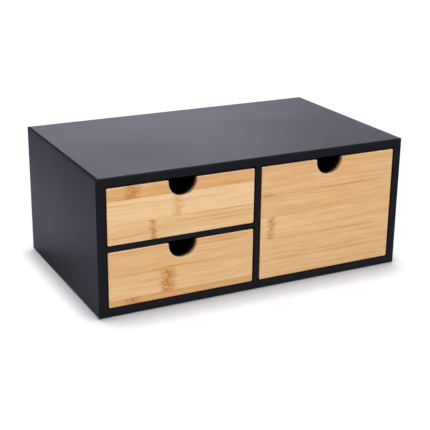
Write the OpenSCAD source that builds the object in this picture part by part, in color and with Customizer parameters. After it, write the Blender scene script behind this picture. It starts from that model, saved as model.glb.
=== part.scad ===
// Desktop mini drawers: a painted case, two shallow drawers and one tall drawer.
// Origin: centre of the footprint, at the underside of the pads.
// X runs to the right as seen from the front, Y to the back, Z up. Millimetres.

/* [Case] */
// Width of the case
case_w = 290; // [260:5:360]
// Depth of the case, fronts included
case_d = 175; // [140:5:240]
// Height of the case without its pads
case_h = 119; // [105:1:160]
// Thickness of the top, bottom and side panels
panel_t = 7.5; // [6:0.5:12]
// Thickness of the upright divider
divider_t = 4.5; // [4:0.5:9]
// Place of the divider's middle, to the right of the case's middle
divider_x = -0.75; // [-25:0.25:25]
// Thickness of the shelf between the two left drawers
shelf_t = 3.5; // [3:0.5:8]
// How deep the divider and the shelf are let into their neighbours
housing_depth = 1.5; // [1:0.25:2]
// Radius of the case's outer edges
edge_r = 1; // [0.5:0.25:2]

/* [Back panel] */
// Thickness of the back panel
back_t = 3; // [2:0.5:5]
// How far the back panel laps onto each case panel
back_lap = 4; // [3:0.25:4.5]
// Gap round the back panel in its rebate
back_gap = 0.25; // [0.1:0.05:0.5]
// Length of a back panel nail under its head
nail_len = 12; // [8:1:16]
// Diameter of a nail's shank
nail_d = 1.2; // [1:0.1:1.4]
// Diameter of a nail's head
nail_head_d = 2.6; // [2:0.1:3]
// Thickness of a nail's head
nail_head_t = 0.5; // [0.4:0.1:0.8]
// Nails along the top and along the bottom
nails_along = 4; // [3:1:7]
// Nails up each side, between the corners
nails_up = 2; // [1:1:3]
// Distance of the outer nails from the back panel's corners
nail_inset = 12; // [8:1:20]

/* [Dowels] */
// Diameter of a dowel
dowel_d = 4; // [3:0.5:4.5]
// Length of a dowel
dowel_len = 20; // [14:1:26]
// Depth of a dowel's hole in the top or bottom panel
dowel_bite = 4.5; // [3:0.5:4.5]
// Dowels in each corner joint
dowels_per_joint = 3; // [2:1:4]
// Distance of the outer dowels from the front and back of the case
dowel_inset = 28; // [24:1:40]

/* [Pads] */
// Diameter of a pad
pad_d = 12; // [8:1:20]
// Thickness of a pad
pad_t = 1; // [0.5:0.25:3]
// Distance of a pad's middle from the case's sides, front and back
pad_inset = 16; // [12:1:30]

/* [Drawer fronts] */
// Thickness of a bamboo front
front_t = 4; // [3.5:0.5:9]
// Gap between a front and its bay at each side
side_gap = 1.1; // [0.5:0.05:1.5]
// Gap under a front
under_gap = 0.6; // [0.4:0.05:1.5]
// Gap over a front
over_gap = 1.5; // [0.5:0.05:2]
// Radius of a front's corners
front_corner_r = 1.25; // [0.5:0.25:4]

/* [Finger notch] */
// Width of the notch
notch_w = 25; // [16:1:34]
// Depth of the notch under the front's top edge
notch_depth = 14.7; // [12:0.1:20]
// Radius where the notch meets the top edge
notch_lip_r = 1.5; // [0.5:0.25:3]

/* [Drawer boxes] */
// Thickness of a box's sides, back and inner front
box_t = 4; // [3.5:0.5:6]
// Thickness of a box's bottom
bottom_t = 3; // [2:0.5:4]
// Height of the bottom's underside over the lower edge of the sides
bottom_rise = 3; // [2:0.5:6]
// Depth of the grooves that hold the bottom
groove_depth = 2; // [1:0.25:2.5]
// Gap between a box and its bay at each side
box_side_gap = 1.25; // [0.75:0.25:2]
// Running gap under a box
box_under_gap = 0.3; // [0.2:0.05:0.4]
// How far a box's rim stays under the top edge of its front
box_drop = 3; // [1:0.5:8]
// Gap between a closed drawer and the back panel
box_back_gap = 0.3; // [0.2:0.1:2]

/* [Screws and brads] */
// Diameter of a front screw's shank
screw_d = 3; // [2.5:0.25:3.5]
// Length of a front screw under its head
screw_len = 6.5; // [5:0.5:7]
// Diameter of a front screw's head
screw_head_d = 5.6; // [5:0.2:7]
// Thickness of a front screw's head
screw_head_t = 1.8; // [1.4:0.2:2.2]
// Width of the cross recess in a screw's head
recess_w = 0.8; // [0.6:0.1:1]
// Length of the cross recess from tip to tip
recess_len = 3; // [2:0.2:3.6]
// Distance of the screws from the ends of the inner front
screw_inset = 20; // [14:1:30]
// Rows of screws in the tall drawer's inner front
tall_screw_rows = 2; // [2:1:3]
// Distance of the outer rows from the upper and lower edges of the tall inner front
screw_rise = 22; // [16:1:30]
// Length of a brad
brad_len = 13; // [9:1:16]
// Diameter of a brad's shank
brad_d = 1; // [0.8:0.1:1.2]
// Diameter of a brad's head
brad_head_d = 1.8; // [1.5:0.1:2.4]
// Thickness of a brad's head
brad_head_t = 0.4; // [0.3:0.1:0.8]
// Brads up each corner of a low drawer
low_brads = 2; // [2:1:3]
// Brads up each corner of the tall drawer
tall_brads = 4; // [3:1:6]
// Distance of the outer brads from a side's upper and lower edges
brad_inset = 10; // [9:1:14]
// Clearance round a dowel, nail, screw or brad in its hole
pin_play = 0.05; // [0.02:0.01:0.1]

/* [Hidden] */
$fn = 48;
cut = 1; // how far a cut reaches past the face that it opens

// a pin's shape is grown by its play to cut its hole, and then starts outside the face
function past_face(play) = play > 0 ? cut : 0;

// case, inside and out
case_z0 = pad_t;
case_z1 = case_z0 + case_h;
case_x = case_w / 2;
case_y = case_d / 2;
inner_x = case_x - panel_t;
floor_z = case_z0 + panel_t;
ceiling_z = case_z1 - panel_t;
back_y = case_y - back_t; // inner face of the back panel

// bays: [left, right, floor, ceiling]
divider_x0 = divider_x - divider_t / 2;
divider_x1 = divider_x + divider_t / 2;
shelf_z0 = (floor_z + ceiling_z - shelf_t) / 2;
shelf_z1 = shelf_z0 + shelf_t;
upper_bay = [-inner_x, divider_x0, shelf_z1, ceiling_z];
lower_bay = [-inner_x, divider_x0, floor_z, shelf_z0];
tall_bay = [divider_x1, inner_x, floor_z, ceiling_z];

// planes that every drawer shares, from front to back
board_y0 = -case_y;
board_y1 = board_y0 + front_t; // back of the bamboo, front of the box
inner_y = board_y1 + box_t; // back of the inner front
rear_y = back_y - box_back_gap; // rear of the drawer
rear_inner_y = rear_y - box_t;

// a front's outline and a box's outside in its bay: [x0, x1, z0, z1]
function front_rect(bay) =
    [bay[0] + side_gap, bay[1] - side_gap, bay[2] + under_gap, bay[3] - over_gap];
function box_rect(bay) =
    [bay[0] + box_side_gap, bay[1] - box_side_gap,
     bay[2] + box_under_gap, front_rect(bay)[3] - box_drop];
function middle(rect) = (rect[0] + rect[1]) / 2;
function spread(from, to, count) =
    [for (i = [0 : count - 1]) from + (to - from) * i / (count - 1)];
function between(from, to, count) =
    [for (i = [1 : count]) from + (to - from) * i / (count + 1)];

// places of the fixings
dowel_x = case_x - panel_t / 2;
dowel_ys = spread(-case_y + dowel_inset, case_y - dowel_inset, dowels_per_joint);
nail_x = inner_x + back_lap / 2;
nail_z0 = floor_z - back_lap / 2;
nail_z1 = ceiling_z + back_lap / 2;
nail_xs = spread(-nail_x + nail_inset, nail_x - nail_inset, nails_along);
nail_zs = between(nail_z0, nail_z1, nails_up);
brad_ys = [inner_y - box_t / 2, rear_inner_y + box_t / 2];
low_screw_rows = 1;

// heights of a front's screws: one row at mid height, or rows from edge to edge
function screw_zs(bay, rows) =
    let (box = box_rect(bay))
    rows == 1
        ? [(box[2] + box[3]) / 2]
        : spread(box[2] + screw_rise, box[3] - screw_rise, rows);
function screw_xs(bay) =
    let (box = box_rect(bay))
    [box[0] + box_t + screw_inset, box[1] - box_t - screw_inset];

paint = [0.13, 0.13, 0.15];
bamboo = [0.89, 0.74, 0.53];
steel = [0.72, 0.72, 0.74];
beech = [0.80, 0.66, 0.47];
felt = [0.10, 0.10, 0.10];

// ---- shapes that repeat ----

// a block between two corners
module block(from, to) {
    translate(from)
        cube(to - from);
}

// a flat outline in X and Z, made solid between two planes across Y
module slab(y0, y1) {
    translate([0, y1, 0])
        rotate([90, 0, 0])
            linear_extrude(y1 - y0)
                children();
}

// a rectangle with round corners, from its lower left corner
module round_rect(width, height, r) {
    translate([r, 0])
        square([width - 2 * r, height]);
    translate([0, r])
        square([width, height - 2 * r]);
    for (x = [r, width - r], y = [r, height - r])
        translate([x, y])
            circle(r);
}

// the whole case as one block with eased outer edges; every case panel is cut from it
module eased_case() {
    intersection() {
        translate([-case_x, -case_y, case_z0])
            linear_extrude(case_h)
                round_rect(case_w, case_d, edge_r);
        slab(-case_y, case_y)
            translate([-case_x, case_z0])
                round_rect(case_w, case_h, edge_r);
        translate([-case_x, -case_y, case_z0])
            rotate([90, 0, 90])
                linear_extrude(case_w)
                    round_rect(case_d, case_h, edge_r);
    }
}

// ---- case ----

// the recess in the rear edges that takes the back panel
module back_rebate() {
    block([-inner_x - back_lap, back_y, floor_z - back_lap],
          [inner_x + back_lap, case_y + cut, ceiling_z + back_lap]);
}

module divider_shape() {
    block([divider_x0, -case_y, floor_z - housing_depth],
          [divider_x1, back_y, ceiling_z + housing_depth]);
}

module shelf_shape() {
    block([-inner_x - housing_depth, -case_y, shelf_z0],
          [divider_x0 + housing_depth, back_y, shelf_z1]);
}

// the pins of the four corner joints, grown by play for their holes
module dowel_set(play) {
    for (x = [-dowel_x, dowel_x],
         y = dowel_ys,
         z = [floor_z - dowel_bite, ceiling_z + dowel_bite - dowel_len])
        translate([x, y, z - play])
            cylinder(d = dowel_d + 2 * play, h = dowel_len + 2 * play);
}

// one nail driven towards the front, its head flush with the back of the case
module nail(play) {
    over = past_face(play);
    translate([0, case_y + over, 0])
        rotate([90, 0, 0]) {
            cylinder(d = nail_head_d + 2 * play, h = over + nail_head_t + play);
            cylinder(d = nail_d + 2 * play, h = over + nail_head_t + nail_len + play);
        }
}

module nail_set(play) {
    for (x = nail_xs, z = [nail_z0, nail_z1])
        translate([x, 0, z])
            nail(play);
    for (x = [-nail_x, nail_x], z = nail_zs)
        translate([x, 0, z])
            nail(play);
}

// a case panel: its block, cut to the eased outside, with all its holes and recesses
module case_panel(from, to) {
    color(paint)
        difference() {
            intersection() {
                eased_case();
                block(from, to);
            }
            back_rebate();
            divider_shape();
            shelf_shape();
            dowel_set(pin_play);
            nail_set(pin_play);
        }
}

module case_top() {
    case_panel([-case_x, -case_y, ceiling_z], [case_x, case_y, case_z1]);
}

module case_bottom() {
    case_panel([-case_x, -case_y, case_z0], [case_x, case_y, floor_z]);
}

module case_left_side() {
    case_panel([-case_x, -case_y, floor_z], [-inner_x, case_y, ceiling_z]);
}

module case_right_side() {
    case_panel([inner_x, -case_y, floor_z], [case_x, case_y, ceiling_z]);
}

module case_divider() {
    color(paint)
        difference() {
            divider_shape();
            shelf_shape();
            nail_set(pin_play);
        }
}

module case_shelf() {
    color(paint)
        difference() {
            shelf_shape();
            nail_set(pin_play);
        }
}

module case_back() {
    color(paint)
        difference() {
            block([-inner_x - back_lap + back_gap, back_y, floor_z - back_lap + back_gap],
                  [inner_x + back_lap - back_gap, case_y, ceiling_z + back_lap - back_gap]);
            nail_set(pin_play);
        }
}

module case_dowels() {
    color(beech)
        dowel_set(0);
}

module back_nails() {
    color(steel)
        nail_set(0);
}

module foot_pads() {
    color(felt)
        for (x = [-case_x + pad_inset, case_x - pad_inset],
             y = [-case_y + pad_inset, case_y - pad_inset])
            translate([x, y, 0])
                cylinder(d = pad_d, h = pad_t);
}

// ---- drawers ----

// the finger notch as a flat cut, hung from the middle of a top edge at height 0
module notch_outline() {
    r = notch_w / 2;
    translate([0, r - notch_depth])
        circle(r);
    translate([-r, r - notch_depth])
        square([notch_w, notch_depth - r + cut]);
    // the lips: a square corner less the quarter circle that rounds it
    for (side = [-1, 1])
        difference() {
            translate([side > 0 ? r : -r - notch_lip_r, -notch_lip_r])
                square([notch_lip_r, notch_lip_r + cut]);
            translate([side * (r + notch_lip_r), -notch_lip_r])
                circle(notch_lip_r);
        }
}

module notch_at(bay) {
    rect = front_rect(bay);
    translate([middle(rect), rect[3]])
        notch_outline();
}

// the shank of one screw, from inside its head through the box into the bamboo
module screw_shank(play) {
    in_head = screw_head_t / 3;
    translate([0, inner_y + in_head, 0])
        rotate([90, 0, 0])
            cylinder(d = screw_d + 2 * play, h = in_head + screw_len + play);
}

// a domed head with a cross recess, on the inner face of the box
module screw_head() {
    translate([0, inner_y, 0])
        rotate([-90, 0, 0])
            difference() {
                intersection() {
                    cylinder(d = screw_head_d, h = screw_head_t);
                    translate([0, 0, screw_head_t - screw_head_d])
                        sphere(screw_head_d);
                }
                for (turn = [0, 90])
                    rotate([0, 0, turn])
                        translate([-recess_len / 2, -recess_w / 2, screw_head_t / 2])
                            cube([recess_len, recess_w, screw_head_t]);
            }
}

module screw_shanks(bay, rows, play) {
    for (x = screw_xs(bay), z = screw_zs(bay, rows))
        translate([x, 0, z])
            screw_shank(play);
}

// one brad driven along +X from the face at x = 0, its head flush with that face
module brad(play) {
    over = past_face(play);
    translate([-over, 0, 0])
        rotate([0, 90, 0]) {
            cylinder(d = brad_head_d + 2 * play, h = over + brad_head_t + play);
            cylinder(d = brad_d + 2 * play, h = over + brad_len + play);
        }
}

// the brads of a drawer's four corners, a count of them up each corner
module brad_set(bay, count, play) {
    box = box_rect(bay);
    for (y = brad_ys, z = spread(box[2] + brad_inset, box[3] - brad_inset, count)) {
        translate([box[0], y, z])
            brad(play);
        translate([box[1], y, z])
            mirror([1, 0, 0])
                brad(play);
    }
}

module bottom_shape(bay) {
    box = box_rect(bay);
    inset = box_t - groove_depth;
    block([box[0] + inset, board_y1 + inset, box[2] + bottom_rise],
          [box[1] - inset, rear_y - inset, box[2] + bottom_rise + bottom_t]);
}

module front_board(bay, rows) {
    rect = front_rect(bay);
    color(bamboo)
        difference() {
            slab(board_y0, board_y1)
                difference() {
                    translate([rect[0], rect[2]])
                        round_rect(rect[1] - rect[0], rect[3] - rect[2], front_corner_r);
                    notch_at(bay);
                }
            screw_shanks(bay, rows, pin_play);
        }
}

module box_front(bay, rows, brads) {
    box = box_rect(bay);
    color(paint)
        difference() {
            block([box[0] + box_t, board_y1, box[2]], [box[1] - box_t, inner_y, box[3]]);
            slab(board_y1 - cut, inner_y + cut)
                notch_at(bay);
            bottom_shape(bay);
            screw_shanks(bay, rows, pin_play);
            brad_set(bay, brads, pin_play);
        }
}

// a side of the box from its left face, behind the bamboo and as long as the box
module box_side(bay, x0, brads) {
    box = box_rect(bay);
    color(paint)
        difference() {
            block([x0, board_y1, box[2]], [x0 + box_t, rear_y, box[3]]);
            bottom_shape(bay);
            brad_set(bay, brads, pin_play);
        }
}

module left_side(bay, brads) {
    box_side(bay, box_rect(bay)[0], brads);
}

module right_side(bay, brads) {
    box_side(bay, box_rect(bay)[1] - box_t, brads);
}

module box_back(bay, brads) {
    box = box_rect(bay);
    color(paint)
        difference() {
            block([box[0] + box_t, rear_inner_y, box[2]], [box[1] - box_t, rear_y, box[3]]);
            bottom_shape(bay);
            brad_set(bay, brads, pin_play);
        }
}

module box_bottom(bay) {
    color(paint)
        bottom_shape(bay);
}

module front_screws(bay, rows) {
    color(steel) {
        screw_shanks(bay, rows, 0);
        for (x = screw_xs(bay), z = screw_zs(bay, rows))
            translate([x, 0, z])
                screw_head();
    }
}

module box_brads(bay, brads) {
    color(steel)
        brad_set(bay, brads, 0);
}

case_top();
case_bottom();
case_left_side();
case_right_side();
case_divider();
case_shelf();
case_back();
case_dowels();
back_nails();
foot_pads();

front_board(upper_bay, low_screw_rows);  // upper_front
box_front(upper_bay, low_screw_rows, low_brads);  // upper_box_front
left_side(upper_bay, low_brads);  // upper_left_side
right_side(upper_bay, low_brads);  // upper_right_side
box_back(upper_bay, low_brads);  // upper_back
box_bottom(upper_bay);  // upper_bottom
front_screws(upper_bay, low_screw_rows);  // upper_screws
box_brads(upper_bay, low_brads);  // upper_brads

front_board(lower_bay, low_screw_rows);  // lower_front
box_front(lower_bay, low_screw_rows, low_brads);  // lower_box_front
left_side(lower_bay, low_brads);  // lower_left_side
right_side(lower_bay, low_brads);  // lower_right_side
box_back(lower_bay, low_brads);  // lower_back
box_bottom(lower_bay);  // lower_bottom
front_screws(lower_bay, low_screw_rows);  // lower_screws
box_brads(lower_bay, low_brads);  // lower_brads

front_board(tall_bay, tall_screw_rows);  // tall_front
box_front(tall_bay, tall_screw_rows, tall_brads);  // tall_box_front
left_side(tall_bay, tall_brads);  // tall_left_side
right_side(tall_bay, tall_brads);  // tall_right_side
box_back(tall_bay, tall_brads);  // tall_back
box_bottom(tall_bay);  // tall_bottom
front_screws(tall_bay, tall_screw_rows);  // tall_screws
box_brads(tall_bay, tall_brads);
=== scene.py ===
import math

import bmesh
import bpy
from mathutils import Matrix, Vector


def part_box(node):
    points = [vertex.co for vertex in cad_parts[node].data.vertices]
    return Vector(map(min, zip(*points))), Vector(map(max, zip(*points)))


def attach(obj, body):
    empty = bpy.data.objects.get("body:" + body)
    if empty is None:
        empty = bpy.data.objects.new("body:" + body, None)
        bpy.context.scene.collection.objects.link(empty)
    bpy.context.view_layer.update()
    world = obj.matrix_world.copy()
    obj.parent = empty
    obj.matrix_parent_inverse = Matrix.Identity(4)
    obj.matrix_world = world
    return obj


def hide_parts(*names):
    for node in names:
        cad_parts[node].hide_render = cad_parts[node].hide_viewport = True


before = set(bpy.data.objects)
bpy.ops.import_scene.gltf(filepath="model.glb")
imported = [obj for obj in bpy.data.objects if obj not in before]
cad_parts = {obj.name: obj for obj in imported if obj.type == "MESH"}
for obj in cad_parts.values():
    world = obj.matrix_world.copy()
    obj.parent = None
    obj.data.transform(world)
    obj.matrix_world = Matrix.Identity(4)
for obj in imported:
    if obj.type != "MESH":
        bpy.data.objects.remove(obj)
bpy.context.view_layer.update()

# ---- the fronts, in metres ----

DRAWERS = ("upper", "lower", "tall")
NOTCH_WIDTH = 0.025
NOTCH_DEPTH = 0.0147
NOTCH_LIP_RADIUS = 0.0015
FRONT_CORNER_RADIUS = 0.00125
CORNER_STEPS = 8
BOWL_STEPS = 40

# The eased edges of a front: their width, their steps, and the bend from which an edge is eased.
FRONT_EASE = 0.0006
EASE_STEPS = 3
EASE_FROM_DEGREES = 50

# The height of the uppermost glue line of each front. The strips under it are all of one height.
FIRST_SEAM = {"upper": 0.100, "lower": 0.055, "tall": 0.105}
STRIP_HEIGHT = 0.020

# Bamboo strips of each front, from the top down: tone from honey 0 to pale 1, then the knuckle's x,
# half width and strength. FAR is a knuckle outside the front.
FAR = (1.0, 0.001, 0.0)
STRIPS = {
    "upper": [
        (0.12, -0.1145, 0.0065, 0.95),
        (0.95, -0.0745, 0.0045, 0.40),
        (0.55, -0.0965, 0.0030, 0.80),
    ],
    "lower": [
        (0.42, *FAR),
        (0.42, *FAR),
        (0.58, -0.0842, 0.0060, 0.95),
        (0.05, -0.1140, 0.0064, 0.70),
    ],
    "tall": [
        (0.36, *FAR),
        (0.44, *FAR),
        (0.42, *FAR),
        (0.56, 0.0135, 0.0036, 0.72),
        (0.42, *FAR),
        (0.46, *FAR),
    ],
}

# Single dark streaks in the grain: the middle's x and height, half the length, half the thickness
# and the strength.
STREAKS = {
    "upper": [
        (-0.1200, 0.1000, 0.0220, 0.0009, 0.75),
        (-0.0220, 0.1018, 0.0220, 0.0011, 0.60),
        (-0.0330, 0.0800, 0.0400, 0.0010, 0.50),
        (-0.0280, 0.0722, 0.0380, 0.0010, 0.50),
        (-0.1180, 0.0688, 0.0260, 0.0009, 0.50),
    ],
    "lower": [
        (-0.0700, 0.0362, 0.0750, 0.0011, 0.50),
        (-0.0220, 0.0525, 0.0220, 0.0018, 0.35),
    ],
    "tall": [
        (0.0900, 0.0855, 0.0560, 0.0012, 0.75),
        (0.0090, 0.0850, 0.0120, 0.0014, 0.75),
        (0.0680, 0.0675, 0.0340, 0.0010, 0.50),
        (0.0300, 0.0650, 0.0080, 0.0013, 0.45),
        (0.0830, 0.0452, 0.0500, 0.0022, 0.40),
        (0.0300, 0.0258, 0.0300, 0.0016, 0.50),
        (0.1000, 0.0254, 0.0420, 0.0014, 0.35),
    ],
}

# ---- node graphs ----

# The colour sockets of Blender's Mix node.
MIX_AMOUNT = 0
MIX_FIRST = 6
MIX_SECOND = 7
MIX_RESULT = 2


class Graph:
    """Builds a node tree in few words. A value is a number, a tuple or another node's output."""

    def __init__(self, tree):
        tree.nodes.clear()
        self.tree = tree

    def node(self, kind, inputs=(), **settings):
        made = self.tree.nodes.new("ShaderNode" + kind)
        for name, value in settings.items():
            setattr(made, name, value)
        pairs = inputs.items() if isinstance(inputs, dict) else enumerate(inputs)
        for key, value in pairs:
            self.feed(made.inputs[key], value)
        return made

    def feed(self, socket, value):
        if isinstance(value, bpy.types.NodeSocket):
            self.tree.links.new(value, socket)
        else:
            socket.default_value = value

    def math(self, operation, *values):
        return self.node("Math", values, operation=operation).outputs[0]

    def add(self, *values):
        return self.math("ADD", *values)

    def minus(self, *values):
        return self.math("SUBTRACT", *values)

    def times(self, *values):
        return self.math("MULTIPLY", *values)

    def xyz(self, x=0.0, y=0.0, z=0.0):
        return self.node("CombineXYZ", (x, y, z)).outputs[0]

    def split(self, vector):
        return self.node("SeparateXYZ", (vector,)).outputs

    def noise(self, vector, scale=1.0, detail=2.0, roughness=0.5):
        inputs = {"Vector": vector, "Scale": scale, "Detail": detail, "Roughness": roughness}
        return self.node("TexNoise", inputs).outputs[0]

    def ramp(self, value, low, high, to_low=0.0, to_high=1.0):
        """A smooth step: to_low where the value is low, to_high where it is high."""
        values = (value, low, high, to_low, to_high)
        return self.node("MapRange", values, interpolation_type="SMOOTHSTEP").outputs[0]

    def mix(self, amount, first, second):
        made = self.node("Mix", data_type="RGBA")
        self.feed(made.inputs[MIX_AMOUNT], amount)
        self.feed(made.inputs[MIX_FIRST], first)
        self.feed(made.inputs[MIX_SECOND], second)
        return made.outputs[MIX_RESULT]

    def output(self, kind, shader):
        """Ends the tree in an output node of that kind."""
        self.node(kind, (shader.outputs[0],))


def new_material(name):
    """A material that has a principled shader only: the material, its graph and the shader."""
    material = bpy.data.materials.new(name)
    material.use_nodes = True
    graph = Graph(material.node_tree)
    shader = graph.node("BsdfPrincipled")
    graph.output("OutputMaterial", shader)
    return material, graph, shader


def place(graph):
    """The place on the object, in metres."""
    return graph.node("TexCoord").outputs["Object"]


def stretched(graph, scale_x, scale_y, scale_z):
    """The place on the object, scaled per axis, so that noise turns into fibres."""
    x, y, z = graph.split(place(graph))
    return graph.xyz(graph.times(x, scale_x), graph.times(y, scale_y), graph.times(z, scale_z))


def centred(graph, value, amount):
    """Noise turned into a swing of plus or minus half the amount."""
    return graph.times(graph.minus(value, 0.5), amount)


def bump(graph, shader, height, depth, normal=None):
    """Relief of that depth, in metres, on the surface's own normal or on the one given."""
    made = graph.node("Bump", {"Height": height, "Distance": depth, "Strength": 1.0})
    if normal is not None:
        graph.feed(made.inputs["Normal"], normal)
    graph.feed(shader.inputs["Normal"], made.outputs[0])


# ---- bamboo ----

PALE = (0.848, 0.590, 0.315, 1)
HONEY = (0.665, 0.355, 0.132, 1)
STREAK = (0.600, 0.262, 0.056, 1)
KNUCKLE = (0.470, 0.165, 0.018, 1)
# Painted highlight on the eased upper edges of a front.
EDGE_HIGHLIGHT = (0.950, 0.730, 0.480, 1)
END_GRAIN = (0.420, 0.185, 0.050, 1)
END_PORE = (0.170, 0.070, 0.022, 1)
# Painted shade of the gaps round a front, laid on the board's outer edge faces.
GAP_SHADE = (0.040, 0.018, 0.008, 1)

# Marks in the grain: their length and their thickness, in metres.
DRIFT = (0.055, 0.022)
CURL = (0.0045, 0.0060)
BAND = (0.170, 0.0080)
LINE = (0.110, 0.0011)
STRAND = (0.070, 0.0015)
MOTTLE = (0.024, 0.0026)
THREAD = (0.018, 0.00045)
TORN = (0.0040, 0.00080)
BREAK = (0.0030, 0.0020)

# The length of a stronger stretch of glue line, the height of one wave of a knuckle's line, and how
# far the grain curls on each side of a knuckle, in metres.
SEAM_PATCH = 0.036
KNUCKLE_WAVE = 0.0065
KNUCKLE_CURL_REACH = 0.016
PORES_PER_METRE = 2600.0

# How far the noise moves things between its 0 and its 1: the grain and a knuckle's line in metres,
# and the tone between honey and pale wood.
DRIFT_SWING = 0.0030
CURL_SWING = 0.0026
KNUCKLE_SWING = 0.0085
BAND_SWING = 0.60
MOTTLE_SWING = 0.70
STRAND_SWING = 0.85
THREAD_SWING = 0.70
TONE_ENDS = (-0.25, 1.25)

# Where a mask starts to fade, and where it ends: in metres from a knuckle's line and from a board's
# outer edge, in strips from a glue line, and in half widths of a knuckle.
SCAR_FADE = (0.0002, 0.0014)
RIM_FADE = (0.0001, 0.0008)
SEAM_FADE = (0.004, 0.028)
HAZE_FADE = (0.3, 1.7)
TORN_FADE = (0.2, 1.5)

# How strongly the marks cover the wood. A glue line's cover varies between two values.
LINE_COVER = 0.55
DASH_COVER = 0.52
SEAM_COVER = (0.10, 0.60)
HAZE_COVER = 0.45
SCAR_COVER = 0.85
END_COVER = 0.85
# How strongly the painted highlight covers the eased upper edges.
EDGE_HIGHLIGHT_COVER = 0.50
# How strongly the painted gap shade covers the outer edge faces.
GAP_SHADE_COVER = 0.85

# Steps in the noise from board to board, and from strip to strip of one board.
BOARD_SEED_STEP = 11.3
STRIP_SEED_STEP = 3.7


def by_strip(graph, index, values):
    """The value for the strip that a point is in."""
    total = 0.0
    for number, value in enumerate(values):
        here = graph.math("COMPARE", index, float(number), 0.5)
        total = graph.math("MULTIPLY_ADD", here, value, total)
    return total


class Grain:
    """The grain of one front: a point's strip and knuckle, and its place along and across the fibres."""

    def __init__(self, graph, drawer, seed):
        self.graph = graph
        self.low, self.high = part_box(drawer + "_front")
        self.x, self.y, self.z = graph.split(place(graph))
        # the pattern runs on over the upper and lower edges
        self.across = graph.add(self.z, graph.minus(self.y, self.low.y))
        self.steps = graph.math("DIVIDE", graph.minus(FIRST_SEAM[drawer], self.across), STRIP_HEIGHT)
        index = graph.math("MAXIMUM", graph.add(graph.math("FLOOR", self.steps), 1.0), 0.0)
        self.seed = graph.add(graph.times(index, STRIP_SEED_STEP), seed)
        tones, knuckle_xs, half_widths, strengths = zip(*STRIPS[drawer])
        self.tone = by_strip(graph, index, tones)
        self.from_knuckle = graph.minus(self.x, by_strip(graph, index, knuckle_xs))
        self.half_width = by_strip(graph, index, half_widths)
        self.strength = by_strip(graph, index, strengths)
        self.wavy = self.wandering()

    def noise(self, along, across, length, thickness, detail=2.0):
        """Noise drawn out along the grain. Its marks have about that length and thickness."""
        graph = self.graph
        along = graph.times(along, 1.0 / length)
        across = graph.times(across, 1.0 / thickness)
        return graph.noise(graph.xyz(along, across, self.seed), detail=detail)

    def wandering(self):
        """The height on the board, with a grain that wanders slowly and curls beside a knuckle."""
        graph = self.graph
        from_knuckle = graph.math("ABSOLUTE", self.from_knuckle)
        near = graph.ramp(from_knuckle, 0.0, KNUCKLE_CURL_REACH, 1.0, 0.0)
        drift = centred(graph, self.noise(self.x, self.across, *DRIFT, detail=1.0), DRIFT_SWING)
        curl = centred(graph, self.noise(self.x, self.across, *CURL, detail=1.0), CURL_SWING)
        return graph.add(graph.add(self.across, drift), graph.times(curl, near))

    def fibres(self, length, thickness, detail=2.0):
        """Noise that follows the wandering grain."""
        return self.noise(self.x, self.wavy, length, thickness, detail)


def wood_colour(grain, thread):
    """Honey to pale wood, from broad bands of tone to single fibres, with darker lines and dashes."""
    graph = grain.graph
    strand = grain.fibres(*STRAND)
    tone = graph.add(grain.tone, centred(graph, grain.fibres(*BAND), BAND_SWING))
    tone = graph.add(tone, centred(graph, grain.fibres(*MOTTLE), MOTTLE_SWING))
    tone = graph.add(tone, centred(graph, strand, STRAND_SWING))
    tone = graph.add(tone, centred(graph, thread, THREAD_SWING))
    colour = graph.mix(graph.ramp(tone, *TONE_ENDS), HONEY, PALE)
    line = graph.ramp(grain.fibres(*LINE, detail=1.0), 0.56, 0.74, 0.0, LINE_COVER)
    colour = graph.mix(line, colour, STREAK)
    dash = graph.times(graph.ramp(thread, 0.57, 0.70), graph.ramp(strand, 0.42, 0.60))
    return graph.mix(graph.times(dash, DASH_COVER), colour, STREAK)


def glue_line(grain):
    """A mask of the glue lines between the strips, stronger here and weaker there."""
    graph = grain.graph
    seam = graph.ramp(graph.math("PINGPONG", grain.steps, 0.5), *SEAM_FADE, 1.0, 0.0)
    patch = grain.noise(grain.x, 0.0, SEAM_PATCH, 1.0, detail=1.0)
    return graph.times(seam, graph.ramp(patch, 0.35, 0.65, *SEAM_COVER))


def streak_mask(grain, streak):
    """A long thin lens of darker grain."""
    graph = grain.graph
    middle_x, middle_z, half_length, half_thickness, strength = streak
    along = graph.math("DIVIDE", graph.minus(grain.x, middle_x), half_length)
    over = graph.math("DIVIDE", graph.minus(grain.wavy, middle_z), half_thickness)
    distance = graph.math("SQRT", graph.add(graph.times(along, along), graph.times(over, over)))
    return graph.ramp(distance, 0.2, 1.0, strength, 0.0)


def knuckle_masks(grain):
    """A knuckle's faint haze across its strip, and its torn fibres with a broken wavy line."""
    graph = grain.graph
    sway = centred(graph, grain.noise(0.0, grain.across, 1.0, KNUCKLE_WAVE), KNUCKLE_SWING)
    from_line = graph.math("ABSOLUTE", graph.add(grain.from_knuckle, sway))
    share = graph.math("DIVIDE", from_line, grain.half_width)
    haze = graph.times(graph.ramp(share, *HAZE_FADE, HAZE_COVER, 0.0), grain.strength)
    torn = graph.ramp(grain.fibres(*TORN), 0.46, 0.60)
    torn = graph.times(graph.ramp(share, *TORN_FADE, 1.0, 0.0), torn)
    broken = graph.ramp(grain.noise(grain.x, grain.across, *BREAK), 0.38, 0.56)
    scar = graph.times(graph.ramp(from_line, *SCAR_FADE, SCAR_COVER, 0.0), broken)
    return haze, graph.times(graph.math("MAXIMUM", torn, scar), grain.strength)


def outer_rim(grain):
    """1 at a board's outer edges, 0 further in and so in its notch too."""
    graph = grain.graph
    low, high = grain.low, grain.high
    across = graph.math("MINIMUM", graph.minus(grain.x, low.x), graph.minus(high.x, grain.x))
    over = graph.math("MINIMUM", graph.minus(grain.z, low.z), graph.minus(high.z, grain.z))
    return graph.ramp(graph.math("MINIMUM", across, over), *RIM_FADE, 1.0, 0.0)


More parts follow.
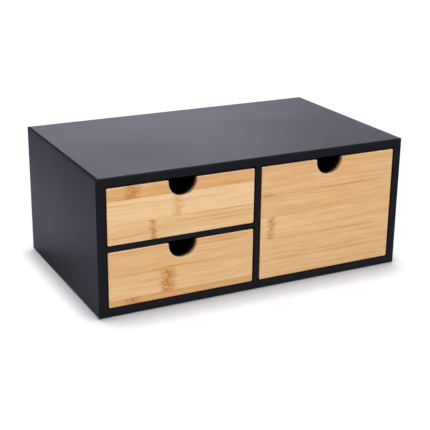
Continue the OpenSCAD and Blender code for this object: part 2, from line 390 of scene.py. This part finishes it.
def with_edges(grain, colour):
    """The wood's colour with end grain, a painted highlight on the eased upper edges, and painted shade on
    the outer edge faces that sit in the gaps.
    """
    graph = grain.graph
    normal_x, normal_y, normal_z = graph.split(graph.node("NewGeometry").outputs["True Normal"])
    facing = graph.math("ABSOLUTE", normal_y)
    end = graph.ramp(graph.math("ABSOLUTE", normal_x), 0.15, 0.70)
    pore_y = graph.times(grain.y, PORES_PER_METRE)
    pore_z = graph.times(grain.z, PORES_PER_METRE)
    pore = graph.noise(graph.xyz(0.0, pore_y, pore_z), detail=1.0)
    end_colour = graph.mix(graph.ramp(pore, 0.50, 0.66), END_GRAIN, END_PORE)
    colour = graph.mix(graph.times(end, END_COVER), colour, end_colour)
    eased = graph.times(graph.ramp(facing, 0.10, 0.45), graph.ramp(facing, 0.90, 0.99, 1.0, 0.0))
    # Painted highlight: eased edges that face up turn paler, as if lit from above.
    upper_highlight = graph.times(eased, graph.ramp(normal_z, 0.0, 0.4, 0.0, EDGE_HIGHLIGHT_COVER))
    colour = graph.mix(upper_highlight, colour, EDGE_HIGHLIGHT)
    # Painted shade: the outer edge faces, which sit in the gaps round the front, turn nearly black.
    gap_shade = graph.times(graph.ramp(facing, 0.2, 0.8, 1.0, 0.0), outer_rim(grain))
    return graph.mix(graph.times(gap_shade, GAP_SHADE_COVER), colour, GAP_SHADE)


def bamboo(drawer, seed):
    """Lacquered bamboo board: strips side by side, each with its own tone, fibres and knuckle."""
    material, graph, shader = new_material("bamboo_" + drawer)
    grain = Grain(graph, drawer, seed)
    thread = grain.fibres(*THREAD)
    seam = glue_line(grain)
    haze, mark = knuckle_masks(grain)
    colour = graph.mix(seam, wood_colour(grain, thread), STREAK)
    for streak in STREAKS[drawer]:
        colour = graph.mix(streak_mask(grain, streak), colour, STREAK)
    colour = graph.mix(haze, colour, STREAK)
    colour = graph.mix(mark, colour, KNUCKLE)
    graph.feed(shader.inputs["Base Color"], with_edges(grain, colour))
    rough = graph.math("MULTIPLY_ADD", thread, 0.16, 0.34)
    graph.feed(shader.inputs["Roughness"], graph.add(rough, graph.times(mark, 0.12)))
    relief = graph.minus(thread, graph.times(graph.add(seam, mark), 0.8))
    bump(graph, shader, relief, depth=0.00005)
    shader.inputs["Specular IOR Level"].default_value = 0.35
    return material


# ---- paint, boards, metal and the rest ----

PAINT_DARK = (0.0058, 0.0058, 0.0078, 1)
PAINT_PALE = (0.0072, 0.0072, 0.0096, 1)
PAINT_SPECK = (0.018, 0.018, 0.022, 1)
PAINT_RUBBED = (0.012, 0.012, 0.014, 1)
THIN_PAINT_DARK = (0.0032, 0.0031, 0.0036, 1)
THIN_PAINT_PALE = (0.0085, 0.0082, 0.0082, 1)
HARDBOARD_DARK = (0.0065, 0.0064, 0.0072, 1)
HARDBOARD_PALE = (0.0190, 0.0175, 0.0165, 1)
ZINC_DULL = (0.46, 0.46, 0.44, 1)
ZINC_BRIGHT = (0.66, 0.66, 0.65, 1)
FOAM_DARK = (0.010, 0.010, 0.011, 1)
FOAM_PALE = (0.034, 0.034, 0.036, 1)
FOAM_DUST = (0.06, 0.058, 0.055, 1)
BEECH_PALE = (0.62, 0.42, 0.24, 1)
BEECH_FLECK = (0.40, 0.23, 0.11, 1)

# Noise scales along and across the fibres of a box board.
ALONG_FIBRES = 60.0
ACROSS_FIBRES = 1500.0

# How far the wear and the softness of the case's edges reach, in metres.
EDGE_WEAR = 0.0020
EDGE_SOFTNESS = 0.0028


def under_faces(graph):
    """For X, Y and Z: the place from the case's middle, and the depth under the nearer outer face."""
    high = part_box("case_top")[1]
    floor_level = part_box("case_bottom")[0].z
    half_height = (high.z - floor_level) / 2
    x, y, z = graph.split(place(graph))
    up = graph.minus(z, floor_level + half_height)
    pairs = []
    for along, half in ((x, high.x), (y, high.y), (up, half_height)):
        pairs.append((along, graph.minus(half, graph.math("ABSOLUTE", along))))
    return pairs


def outer_edge(graph, pairs):
    """1 where two outer faces of the case meet, 0 on the faces and at the joints between its panels."""
    faces_near = 0.0
    for _, depth in pairs:
        near = graph.ramp(depth, EDGE_WEAR, EDGE_WEAR * 2, 1.0, 0.0)
        faces_near = graph.add(near, faces_near)
    return graph.ramp(faces_near, 1.1, 1.9)


def softened(graph, pairs):
    """The surface's normal, turned more softly over the edges that run from front to back."""
    across, up = pairs[0], pairs[2]
    flat = graph.node("NewGeometry").outputs["Normal"]
    cover = graph.ramp(graph.math("ABSOLUTE", graph.split(flat)[1]), 0.0, 0.5, 1.0, 0.0)
    turned = []
    for along, depth in (across, up):
        share = graph.math("MULTIPLY_ADD", depth, -1.0 / EDGE_SOFTNESS, 1.0)
        turned.append(graph.times(graph.math("SIGN", along), graph.math("MAXIMUM", share, 0.0)))
        cover = graph.times(cover, graph.ramp(depth, EDGE_SOFTNESS, EDGE_SOFTNESS * 1.5, 1.0, 0.0))
    over = graph.node("VectorMath", (graph.xyz(turned[0], 0.0, turned[1]),), operation="NORMALIZE")
    return graph.mix(cover, flat, over.outputs[0])


def black_paint():
    """Sprayed satin black: uneven gloss, orange peel and slightly rubbed edges."""
    material, graph, shader = new_material("satin_black_paint")
    at = place(graph)
    cloud = graph.noise(at, scale=11.0, detail=3.0)
    peel = graph.noise(at, scale=1100.0, detail=2.0)
    speck = graph.noise(at, scale=4200.0, detail=1.0)
    pairs = under_faces(graph)
    worn = graph.ramp(graph.noise(at, scale=60.0, detail=3.0), 0.40, 0.65)
    rub = graph.times(outer_edge(graph, pairs), worn)
    colour = graph.mix(cloud, PAINT_DARK, PAINT_PALE)
    colour = graph.mix(graph.times(graph.ramp(speck, 0.62, 0.72), 0.35), colour, PAINT_SPECK)
    colour = graph.mix(graph.times(rub, 0.4), colour, PAINT_RUBBED)
    graph.feed(shader.inputs["Base Color"], colour)
    rough = graph.ramp(cloud, 0.30, 0.70, 0.33, 0.36)
    rough = graph.math("MULTIPLY_ADD", graph.minus(speck, 0.5), 0.08, rough)
    graph.feed(shader.inputs["Roughness"], graph.math("MULTIPLY_ADD", rub, -0.08, rough))
    shader.inputs["IOR"].default_value = 1.25
    bump(graph, shader, peel, depth=0.00001, normal=softened(graph, pairs))
    return material


def board_paint(name, scale_x, scale_y, scale_z):
    """Thin black paint on a box board, with the wood's fibres showing through."""
    material, graph, shader = new_material(name)
    fibre = graph.noise(stretched(graph, scale_x, scale_y, scale_z), detail=3.0)
    cloud = graph.noise(place(graph), scale=25.0, detail=3.0)
    shade = graph.add(graph.times(fibre, 0.6), graph.times(cloud, 0.4))
    colour = graph.mix(graph.ramp(shade, 0.3, 0.7), THIN_PAINT_DARK, THIN_PAINT_PALE)
    graph.feed(shader.inputs["Base Color"], colour)
    graph.feed(shader.inputs["Roughness"], graph.ramp(shade, 0.3, 0.7, 0.66, 0.52))
    shader.inputs["Specular IOR Level"].default_value = 0.15
    bump(graph, shader, fibre, depth=0.00003)
    return material


def hardboard():
    """Painted hardboard: pressed fibres under a thin coat."""
    material, graph, shader = new_material("black_hardboard")
    chip = graph.noise(stretched(graph, 420.0, 420.0, 1100.0), detail=4.0, roughness=0.65)
    cloud = graph.noise(place(graph), scale=14.0, detail=3.0)
    colour = graph.mix(graph.ramp(chip, 0.35, 0.68), HARDBOARD_DARK, HARDBOARD_PALE)
    graph.feed(shader.inputs["Base Color"], colour)
    graph.feed(shader.inputs["Roughness"], graph.add(graph.times(cloud, 0.20), graph.times(chip, 0.35)))
    shader.inputs["Specular IOR Level"].default_value = 0.3
    bump(graph, shader, chip, depth=0.00005)
    return material


def zinc_steel():
    """Zinc-plated steel, slightly clouded, with fine scratches."""
    material, graph, shader = new_material("zinc_plated_steel")
    cloud = graph.noise(place(graph), scale=900.0, detail=3.0)
    scratch = graph.noise(stretched(graph, 9000.0, 900.0, 1500.0))
    graph.feed(shader.inputs["Base Color"], graph.mix(cloud, ZINC_DULL, ZINC_BRIGHT))
    graph.feed(shader.inputs["Roughness"], graph.ramp(scratch, 0.3, 0.7, 0.26, 0.46))
    shader.inputs["Metallic"].default_value = 1.0
    bump(graph, shader, scratch, depth=0.00001)
    return material


def foam():
    """Black foam of the foot pads, with open cells."""
    material, graph, shader = new_material("pad_foam")
    cells = graph.node("TexVoronoi", {"Vector": place(graph), "Scale": 2600.0}).outputs[0]
    dust = graph.noise(place(graph), scale=400.0, detail=3.0)
    colour = graph.mix(cells, FOAM_DARK, FOAM_PALE)
    colour = graph.mix(graph.times(graph.ramp(dust, 0.5, 0.8), 0.3), colour, FOAM_DUST)
    graph.feed(shader.inputs["Base Color"], colour)
    graph.feed(shader.inputs["Roughness"], graph.math("MULTIPLY_ADD", cells, -0.2, 0.95))
    bump(graph, shader, cells, depth=0.0001)
    return material


def beech():
    """Dowel wood: pale beech with short darker flecks along the pin."""
    material, graph, shader = new_material("dowel_beech")
    ray = graph.noise(stretched(graph, 1500.0, 1500.0, 180.0), detail=3.0)
    graph.feed(shader.inputs["Base Color"], graph.mix(graph.ramp(ray, 0.4, 0.7), BEECH_PALE, BEECH_FLECK))
    graph.feed(shader.inputs["Roughness"], graph.ramp(ray, 0.3, 0.7, 0.55, 0.70))
    bump(graph, shader, ray, depth=0.00003)
    return material


# ---- pieces ----


def arc(centre_x, centre_z, radius, from_degrees, to_degrees, steps=CORNER_STEPS):
    """Points on an arc, both ends included."""
    made = []
    for number in range(steps + 1):
        angle = math.radians(from_degrees + (to_degrees - from_degrees) * number / steps)
        made.append((centre_x + radius * math.cos(angle), centre_z + radius * math.sin(angle)))
    return made


def front_outline(low, high):
    """A front's outline seen from the front, anticlockwise: round corners and the finger notch."""
    corner = FRONT_CORNER_RADIUS
    lip = NOTCH_LIP_RADIUS
    bowl = NOTCH_WIDTH / 2
    middle = (low.x + high.x) / 2
    right = high.x - corner
    left = low.x + corner
    top = high.z - corner
    points = arc(left, low.z + corner, corner, 180, 270)
    points += arc(right, low.z + corner, corner, 270, 360)
    points += arc(right, top, corner, 0, 90)
    points += arc(middle + bowl + lip, high.z - lip, lip, 90, 180)
    points += arc(middle, high.z - NOTCH_DEPTH + bowl, bowl, 360, 180, BOWL_STEPS)
    points += arc(middle - bowl - lip, high.z - lip, lip, 0, 90)
    points += arc(left, top, corner, 90, 180)
    return points


def board_mesh(name, low, high):
    """A front's outline, filled from its outer face to its inner one."""
    mesh = bpy.data.meshes.new(name)
    made = bmesh.new()
    outline = front_outline(low, high)
    near = [made.verts.new((x, low.y, z)) for x, z in outline]
    far = [made.verts.new((x, high.y, z)) for x, z in outline]
    made.faces.new(near)
    made.faces.new(reversed(far))
    for number in range(len(outline)):
        after = (number + 1) % len(outline)
        made.faces.new((near[after], near[number], far[number], far[after]))
    bmesh.ops.recalc_face_normals(made, faces=made.faces)
    made.to_mesh(mesh)
    made.free()
    mesh.shade_smooth()
    return mesh


def bamboo_front(drawer, seed):
    """The bamboo board of a drawer, with its edges eased all round."""
    low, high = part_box(drawer + "_front")
    mesh = board_mesh(drawer + "_bamboo_front", low, high)
    piece = bpy.data.objects.new(mesh.name, mesh)
    bpy.context.scene.collection.objects.link(piece)
    ease = piece.modifiers.new("ease", "BEVEL")
    ease.width = FRONT_EASE
    ease.segments = EASE_STEPS
    ease.limit_method = "ANGLE"
    ease.angle_limit = math.radians(EASE_FROM_DEGREES)
    ease.harden_normals = True
    mesh.materials.append(bamboo(drawer, seed))
    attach(piece, drawer + "_drawer")
    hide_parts(drawer + "_front")


def paint_nodes(material, names):
    """Gives the CAD nodes of these names the material."""
    for name in names:
        for material_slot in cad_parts[name].material_slots:
            material_slot.material = material


for number, drawer in enumerate(DRAWERS):
    bamboo_front(drawer, BOARD_SEED_STEP * number)

CASE_PANELS = ("top", "bottom", "left_side", "right_side", "divider", "shelf")
paint_nodes(black_paint(), ["case_" + panel for panel in CASE_PANELS])
paint_nodes(hardboard(), ["case_back"])
paint_nodes(beech(), ["case_dowels"])
paint_nodes(foam(), ["foot_pads"])
metal = zinc_steel()
paint_nodes(metal, ["back_nails"])
fibres_along_x = board_paint("board_paint_x", ALONG_FIBRES, ACROSS_FIBRES, ACROSS_FIBRES)
fibres_along_y = board_paint("board_paint_y", ACROSS_FIBRES, ALONG_FIBRES, ACROSS_FIBRES)
for drawer in DRAWERS:
    paint_nodes(fibres_along_x, [drawer + "_box_front", drawer + "_back"])
    paint_nodes(fibres_along_y, [drawer + side for side in ("_left_side", "_right_side", "_bottom")])
    paint_nodes(metal, [drawer + "_screws", drawer + "_brads"])

# ---- stage, light and camera ----

WHITE = (1.0, 1.0, 1.0, 1)
COOL = (0.85, 0.87, 1.0, 1)
SKY = (0.83, 0.84, 1.0, 1)
BLUE = (0.70, 0.71, 1.0, 1)

# The floor: its half width and its own colour, also as a gloss sees it.
FLOOR_HALF = 6.0
FLOOR_PALE = (0.35, 0.35, 0.35, 1)
FLOOR_IN_GLOSS = (0.20, 0.20, 0.20, 1)

# The object's shadow on the floor: how far it reaches, the white that is added in it, less near the
# object than far away, and the white that comes on top outside it.
SHADE_SAMPLES = 16
SHADOW_REACH_IN_FRONT = 0.046
SHADOW_REACH_BESIDE = 0.022
SHADED_LEVEL_NEAR = 0.20
SHADED_LEVEL_FAR = 0.50
OPEN_LEVEL = 0.52

# The blue light of the floor that only a gloss sees, beside the object and in front of it.
GLOSS_SHADE_REACH = 0.12
GLOSS_BESIDE = 0.66
GLOSS_BESIDE_FRONT_CORNERS = 0.14
GLOSS_IN_FRONT = 0.40
GLOSS_FAR_IN_FRONT = 0.12

# Where these levels change, each over a stretch of the floor, in metres.
SHADOW_REACH_CHANGES_Y = (-0.105, -0.080)
FAR_AWAY = (0.5, 1.5)
BESIDE_ENDS_X = (0.21, 0.31)
FRONT_CORNERS_END_Y = (-0.03, 0.05)
IN_FRONT_ENDS_Y = (-0.10, -0.09)
FAR_IN_FRONT_ENDS_Y = (-0.40, -0.10)

# The studio: its light, the direction, up at the back, around which a gloss sees it dark, and the
# cosines of the angles from there between which it darkens.
WORLD_LIGHT = 0.53
DARK_SIDE = (-0.20, 0.80, 0.56)
DARK_SIDE_RIM = (0.86, 0.95)
LIGHT_TARGET = Vector((0, 0, 0.05))

CAMERA_PLACE = (-0.4102, -0.8091, 0.3650)
CAMERA_TARGET = (0.0089, 0.0100, 0.0362)
CAMERA_LENS = 87.01
CAMERA_ROLL_DEGREES = 0.70


def open_share(graph, distance):
    """0 on the floor against the object, 1 where nothing stands within the distance."""
    clear = graph.node("AmbientOcclusion", {"Distance": distance}, samples=SHADE_SAMPLES)
    return graph.ramp(clear.outputs["AO"], 0.5, 1.0)


def seen_level(graph, position):
    """The white that is added where the floor is seen: least in the object's shadow."""
    y = graph.split(position)[1]
    reach = graph.ramp(y, *SHADOW_REACH_CHANGES_Y, SHADOW_REACH_IN_FRONT, SHADOW_REACH_BESIDE)
    away = graph.node("VectorMath", (position,), operation="LENGTH").outputs["Value"]
    shaded = graph.ramp(away, *FAR_AWAY, SHADED_LEVEL_NEAR, SHADED_LEVEL_FAR)
    return graph.math("MULTIPLY_ADD", open_share(graph, reach), OPEN_LEVEL, shaded)


def gloss_level(graph, position):
    """The light of the floor in a gloss: one level beside the object, another in front of it."""
    x, y = graph.split(position)[:2]
    band = graph.ramp(graph.math("ABSOLUTE", x), *BESIDE_ENDS_X, GLOSS_BESIDE, 0.0)
    corners = graph.ramp(y, *FRONT_CORNERS_END_Y, GLOSS_BESIDE_FRONT_CORNERS, 0.0)
    beside = graph.add(graph.times(open_share(graph, GLOSS_SHADE_REACH), band), corners)
    front = graph.ramp(y, *FAR_IN_FRONT_ENDS_Y, GLOSS_FAR_IN_FRONT, GLOSS_IN_FRONT)
    in_front = graph.ramp(y, *IN_FRONT_ENDS_Y, 1.0, 0.0)
    return graph.mix(in_front, beside, front)


def floor_material():
    """Plain pale floor that clips to white where it is seen, except where the object shades it."""
    material = bpy.data.materials.new("pale_floor")
    material.use_nodes = True
    graph = Graph(material.node_tree)
    path = graph.node("LightPath").outputs
    glossy = path["Is Glossy Ray"]
    seen = graph.math("MAXIMUM", path["Is Camera Ray"], path["Is Transmission Ray"])
    position = graph.node("NewGeometry").outputs["Position"]
    matt = graph.node("BsdfDiffuse", {"Color": graph.mix(glossy, FLOOR_PALE, FLOOR_IN_GLOSS)})
    white = graph.times(seen, seen_level(graph, position))
    white = graph.node("Emission", {"Color": WHITE, "Strength": white})
    gloss = graph.times(glossy, gloss_level(graph, position))
    gloss = graph.node("Emission", {"Color": BLUE, "Strength": gloss})
    glow = graph.node("AddShader", (white.outputs[0], gloss.outputs[0]))
    graph.output("OutputMaterial", graph.node("AddShader", (matt.outputs[0], glow.outputs[0])))
    return material


def make_floor():
    """A large square floor under the object."""
    half = FLOOR_HALF
    mesh = bpy.data.meshes.new("floor")
    corners = [(-half, -half, 0), (half, -half, 0), (half, half, 0), (-half, half, 0)]
    mesh.from_pydata(corners, [], [(0, 1, 2, 3)])
    floor = bpy.data.objects.new("floor", mesh)
    bpy.context.scene.collection.objects.link(floor)
    mesh.materials.append(floor_material())


def make_world():
    """An even studio, white where it is seen. In a gloss it is pale blue, and dark around one direction."""
    world = bpy.data.worlds.new("studio")
    world.use_nodes = True
    graph = Graph(world.node_tree)
    direction = graph.node("TexCoord").outputs["Generated"]
    to_dark = graph.node("VectorMath", (direction, DARK_SIDE), operation="DOT_PRODUCT").outputs["Value"]
    bright = graph.ramp(to_dark, *DARK_SIDE_RIM, 1.0, 0.0)
    light = graph.node("Background", {"Color": COOL, "Strength": WORLD_LIGHT})
    gloss = graph.node("Background", {"Color": SKY, "Strength": bright})
    white = graph.node("Background", {"Color": WHITE, "Strength": 1.0})
    path = graph.node("LightPath").outputs
    seen = graph.math("MAXIMUM", path["Is Camera Ray"], path["Is Transmission Ray"])
    unseen = graph.node("MixShader", (path["Is Glossy Ray"], light.outputs[0], gloss.outputs[0]))
    graph.output("OutputWorld", graph.node("MixShader", (seen, unseen.outputs[0], white.outputs[0])))
    bpy.context.scene.world = world


def area_light(name, location, size, power, colour=WHITE):
    """A round lamp of that diameter, aimed at the object."""
    light = bpy.data.lights.new(name, "AREA")
    light.color = colour[:3]
    light.shape = "DISK"
    light.size = size
    light.energy = power
    lamp = bpy.data.objects.new(name, light)
    bpy.context.scene.collection.objects.link(lamp)
    lamp.location = location
    lamp.rotation_euler = (LIGHT_TARGET - Vector(location)).to_track_quat("-Z", "Y").to_euler()


def make_camera(location, target, lens, roll_degrees):
    """The scene's camera, aimed at the target and then rolled."""
    data = bpy.data.cameras.new("camera")
    data.lens = lens
    camera = bpy.data.objects.new("camera", data)
    bpy.context.scene.collection.objects.link(camera)
    aim = (Vector(target) - Vector(location)).to_track_quat("-Z", "Y").to_matrix().to_4x4()
    roll = Matrix.Rotation(math.radians(roll_degrees), 4, "Z")
    camera.matrix_world = Matrix.Translation(location) @ aim @ roll
    bpy.context.scene.camera = camera


make_floor()
make_world()
area_light("key_left", location=(-0.8, -1.2, 1.6), size=1.6, power=18.5)
area_light("key_front", location=(0.1, -1.7, 1.2), size=1.4, power=18.5)
area_light("overhead", location=(-0.2, 0.55, 1.8), size=1.2, power=9.2)
area_light("back", location=(0.55, 1.7, 0.78), size=1.1, power=2.3, colour=SKY)
make_camera(CAMERA_PLACE, CAMERA_TARGET, CAMERA_LENS, CAMERA_ROLL_DEGREES)
bpy.context.scene.view_settings.view_transform = "Standard"
